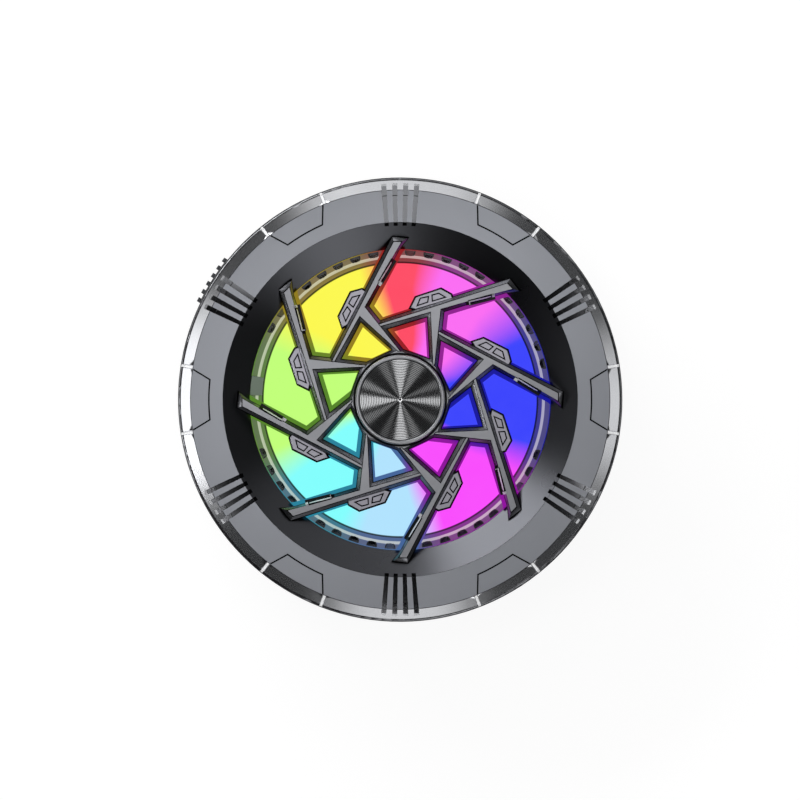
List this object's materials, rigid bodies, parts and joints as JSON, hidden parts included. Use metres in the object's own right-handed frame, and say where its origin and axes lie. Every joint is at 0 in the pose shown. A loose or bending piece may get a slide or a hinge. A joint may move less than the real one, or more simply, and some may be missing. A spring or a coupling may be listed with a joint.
{
  "type": "phone cooling fan",
  "caption": "Round magnetic phone cooler with a lit front disc under a swirling spoked grille, side louvres, a ribbed side button and a flat cold plate.",
  "frame": {"origin": "centre of the flat face that touches the phone", "axes": "+Z along the fan axis, from the phone face towards the lit front; -Y towards the power port; +Y is up in the front view"},
  "size_m": [0.068, 0.068, 0.028],
  "materials": {
    "bezel_metal": "satin grey with a bright machined chamfer",
    "dish_gloss": "piano black, glossy",
    "wheel_metal": "gunmetal, satin ridges and dark flanks",
    "spun_metal": "spun with fine concentric grooves",
    "bright_trim": "polished",
    "lit_tint": "tinted, clear",
    "clear_plastic": "clear moulded plastic",
    "frosted_plastic": "frosted",
    "diffuser_plastic": "opal, lit in soft bands of colour",
    "white_plastic": "white, matt",
    "housing_plastic": "fine texture",
    "button_plastic": "semi-gloss",
    "fan_plastic": "black",
    "board": "solder mask",
    "chips": "moulded",
    "led": "moulded white",
    "ribbon": "polyimide",
    "steel": "plated",
    "screw_steel": "black zinc",
    "lamination": "electrical steel",
    "bearing_bronze": "sintered",
    "copper": "enamelled wire",
    "magnet": "nickel plated",
    "sink_aluminium": "as extruded",
    "cold_aluminium": "fine turned face",
    "ceramic": "alumina",
    "bismuth": "sintered",
    "paste": "thermal compound",
    "foam": "closed-cell foam",
    "wire": "insulated",
    "silicone": "soft, matt"
  },
  "bodies": {
    "body": {"front_bezel": "bezel_metal", "dish_ring": "dish_gloss", "wheel_grille": "wheel_metal", "hub_cap": "spun_metal", "hub_trim_ring": "bright_trim", "light_skirt": "lit_tint", "clear_ring": "clear_plastic", "ring_tab": "frosted_plastic", "light_diffuser": "diffuser_plastic", "light_tray": "white_plastic", "usb_tongue": "white_plastic", "main_housing": "housing_plastic", "back_cover": "housing_plastic", "fan_frame": "fan_plastic", "main_board": "board", "led_board": "board", "fan_board": "board", "board_chips": "chips", "switch_body": "chips", "led_chips": "led", "led_ribbon": "ribbon", "usb_shell": "steel", "magnet_yoke": "steel", "case_screws": "screw_steel", "heatsink_screws": "screw_steel", "fan_screws": "screw_steel", "board_screws": "screw_steel", "hub_screw": "screw_steel", "stator_core": "lamination", "fan_bearing": "bearing_bronze", "stator_coils": "copper", "magnets": "magnet", "heatsink": "sink_aluminium", "cold_plate": "cold_aluminium", "tec_cold_ceramic": "ceramic", "tec_hot_ceramic": "ceramic", "tec_pellets": "bismuth", "cold_paste": "paste", "hot_paste": "paste", "foam_gasket": "foam", "tec_wires": "wire", "fan_wires": "wire", "silicone_ring": "silicone"},
    "rotor": {"fan_impeller": "fan_plastic", "rotor_yoke": "steel", "rotor_magnet": "magnet", "fan_shaft": "steel"},
    "button": {"power_button": "button_plastic", "switch_plunger": "chips"}
  },
  "joints": [
    {"name": "fan_spin", "type": "hinge", "parent": "body", "child": "rotor", "pos_m": [0, 0, 0.016], "axis": [0, 0, 1], "continuous": true},
    {"name": "button_press", "type": "slide", "parent": "body", "child": "button", "axis": [0.8443, -0.5358, 0], "range_m": [0, 0.00045], "stiffness_N_per_m": 200, "springref_m": -0.001}
  ]
}
